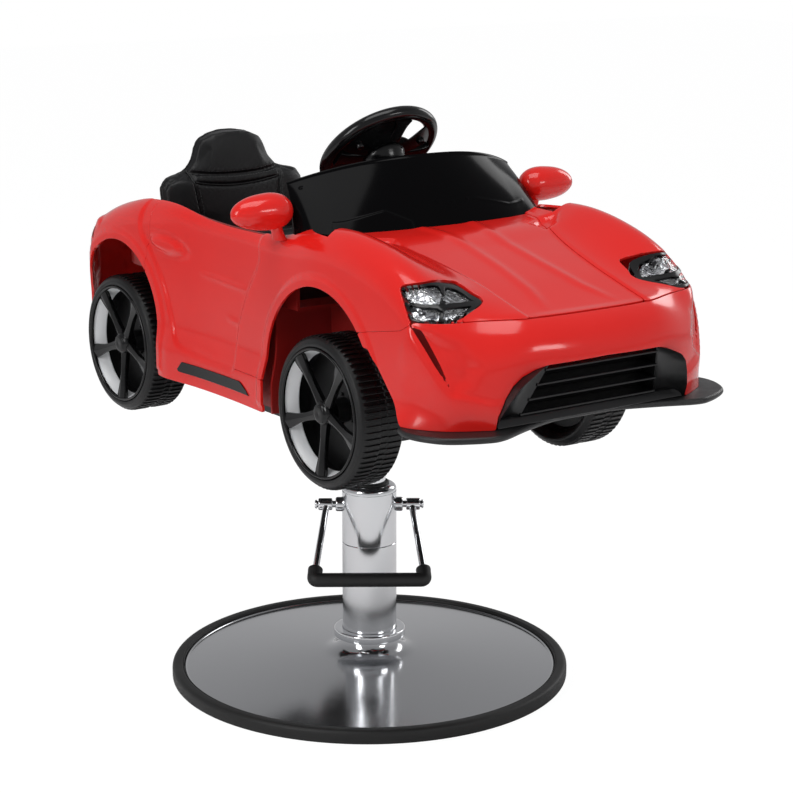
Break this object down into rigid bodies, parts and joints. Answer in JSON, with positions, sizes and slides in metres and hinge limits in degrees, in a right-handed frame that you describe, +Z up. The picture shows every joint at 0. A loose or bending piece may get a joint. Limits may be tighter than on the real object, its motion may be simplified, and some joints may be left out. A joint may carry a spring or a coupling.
{
  "type": "kids car barber chair",
  "caption": "Toy car body with a child's seat and steering wheel on a hydraulic pump column with a foot pedal and a round chromed base.",
  "frame": {"origin": "centre of the base's underside, on the floor", "axes": "+Z up, -Y to the car's nose, +X to the left of the driver"},
  "size_m": [0.6099, 1.0295, 0.8786],
  "materials": {
    "red_gloss": "moulded, glossy",
    "dark_red": "moulded, in the shade of the body",
    "black_gloss": "moulded, high gloss",
    "black_plastic": "moulded, fine grain",
    "clear_lens": "clear moulded lens",
    "red_lens": "tinted lens",
    "chrome": "chromed, mirror",
    "polished_steel": "polished steel sheet",
    "black_steel": "black powder coat",
    "plain_steel": "turned steel",
    "rubber": "moulded rubber",
    "leatherette": "sewn leatherette over foam",
    "wheel_black": "blown plastic wheel with its tread",
    "silver_plastic": "silver lacquer",
    "cover_black": "moulded, glossy"
  },
  "bodies": {
    "base": {"base_plate": "black_steel", "base_cover": "polished_steel", "base_ring": "rubber", "collar": "chrome", "column_tube": "chrome", "pump_head": "chrome", "ram_seal": "rubber"},
    "ram": {"piston_rod": "chrome"},
    "pedal": {"pedal_arm_left": "chrome", "pedal_arm_right": "chrome", "pedal_grip": "rubber"},
    "steering": {"steering_wheel": "black_plastic", "steering_shaft": "plain_steel"},
    "horn": {"horn_button": "black_plastic"},
    "tie_rod": {"tie_rod": "black_steel"},
    "knuckle_left": {"knuckle_left": "black_steel"},
    "knuckle_right": {"knuckle_right": "black_steel"},
    "wheel_front_left": {"tyre_front_left": "wheel_black", "barrel_front_left": "silver_plastic", "cover_front_left": "cover_black"},
    "wheel_front_right": {"tyre_front_right": "wheel_black", "barrel_front_right": "silver_plastic", "cover_front_right": "cover_black"},
    "wheel_rear_left": {"tyre_rear_left": "wheel_black", "barrel_rear_left": "silver_plastic", "cover_rear_left": "cover_black"},
    "wheel_rear_right": {"tyre_rear_right": "wheel_black", "barrel_rear_right": "silver_plastic", "cover_rear_right": "cover_black"},
    "car": {"swivel_plate": "black_steel", "chassis_pan": "black_plastic", "pan_wing_left": "black_steel", "pan_wing_right": "black_steel", "front_beam": "black_steel", "rear_axle": "plain_steel", "hood": "red_gloss", "fender_left": "red_gloss", "fender_right": "red_gloss", "front_bumper": "red_gloss", "side_left": "red_gloss", "side_right": "red_gloss", "quarter_left": "red_gloss", "quarter_right": "red_gloss", "tail_panel": "red_gloss", "cabin_tub": "dark_red", "dashboard": "black_plastic", "windscreen": "black_gloss", "mirror_left": "red_gloss", "mirror_right": "red_gloss", "lamp_left": "black_plastic", "lamp_right": "black_plastic", "lens_left": "clear_lens", "lens_right": "clear_lens", "tail_lamp": "red_lens", "grille": "black_plastic", "splitter": "black_plastic", "sill_strips": "black_plastic", "front_liner": "dark_red", "steering_box": "black_steel", "seat_cushion": "leatherette", "seat_back": "leatherette"}
  },
  "joints": [
    {"name": "lift", "type": "slide", "parent": "base", "child": "ram", "axis": [0, 0, 1], "range_m": [0, 0.1]},
    {"name": "turn", "type": "hinge", "parent": "ram", "child": "car", "pos_m": [0, 0, 0.42], "axis": [0, 0, 1], "continuous": true},
    {"name": "pedal", "type": "hinge", "parent": "base", "child": "pedal", "pos_m": [0, 0, 0.266], "axis": [0.8192, -0.5736, 0], "range_deg": [0, 25], "stiffness_Nm_per_rad": 3, "springref_deg": -28.65},
    {"name": "steer", "type": "hinge", "parent": "car", "child": "steering", "pos_m": [0, -0.027, 0.811], "axis": [0, 0.6947, 0.7193], "range_deg": [-30, 30]},
    {"name": "horn_press", "type": "slide", "parent": "steering", "child": "horn", "axis": [0, -0.6947, -0.7193], "range_m": [0, 0.002], "stiffness_N_per_m": 400, "springref_m": -0.002},
    {"name": "knuckle_left_turn", "type": "hinge", "parent": "car", "child": "knuckle_left", "pos_m": [0.15, -0.221, 0.487], "axis": [0, 0, 1], "range_deg": [-15.2, 15.2]},
    {"name": "knuckle_right_turn", "type": "hinge", "parent": "car", "child": "knuckle_right", "pos_m": [-0.15, -0.221, 0.487], "axis": [0, 0, 1], "range_deg": [-15.2, 15.2]},
    {"name": "link", "type": "slide", "parent": "car", "child": "tie_rod", "axis": [1, 0, 0], "range_m": [-0.0166, 0.0166]},
    {"name": "roll_front_left", "type": "hinge", "parent": "knuckle_left", "child": "wheel_front_left", "pos_m": [0.2, -0.221, 0.487], "axis": [1, 0, 0], "continuous": true},
    {"name": "roll_front_right", "type": "hinge", "parent": "knuckle_right", "child": "wheel_front_right", "pos_m": [-0.2, -0.221, 0.487], "axis": [1, 0, 0], "continuous": true},
    {"name": "roll_rear_left", "type": "hinge", "parent": "car", "child": "wheel_rear_left", "pos_m": [0.2, 0.342, 0.487], "axis": [1, 0, 0], "continuous": true},
    {"name": "roll_rear_right", "type": "hinge", "parent": "car", "child": "wheel_rear_right", "pos_m": [-0.2, 0.342, 0.487], "axis": [1, 0, 0], "continuous": true}
  ],
  "couplings": [
    {"joint": "knuckle_left_turn", "follows": "steer", "ratio": 0.5},
    {"joint": "knuckle_right_turn", "follows": "steer", "ratio": 0.5},
    {"joint": "link", "follows": "steer", "m_per_rad": 0.031}
  ]
}
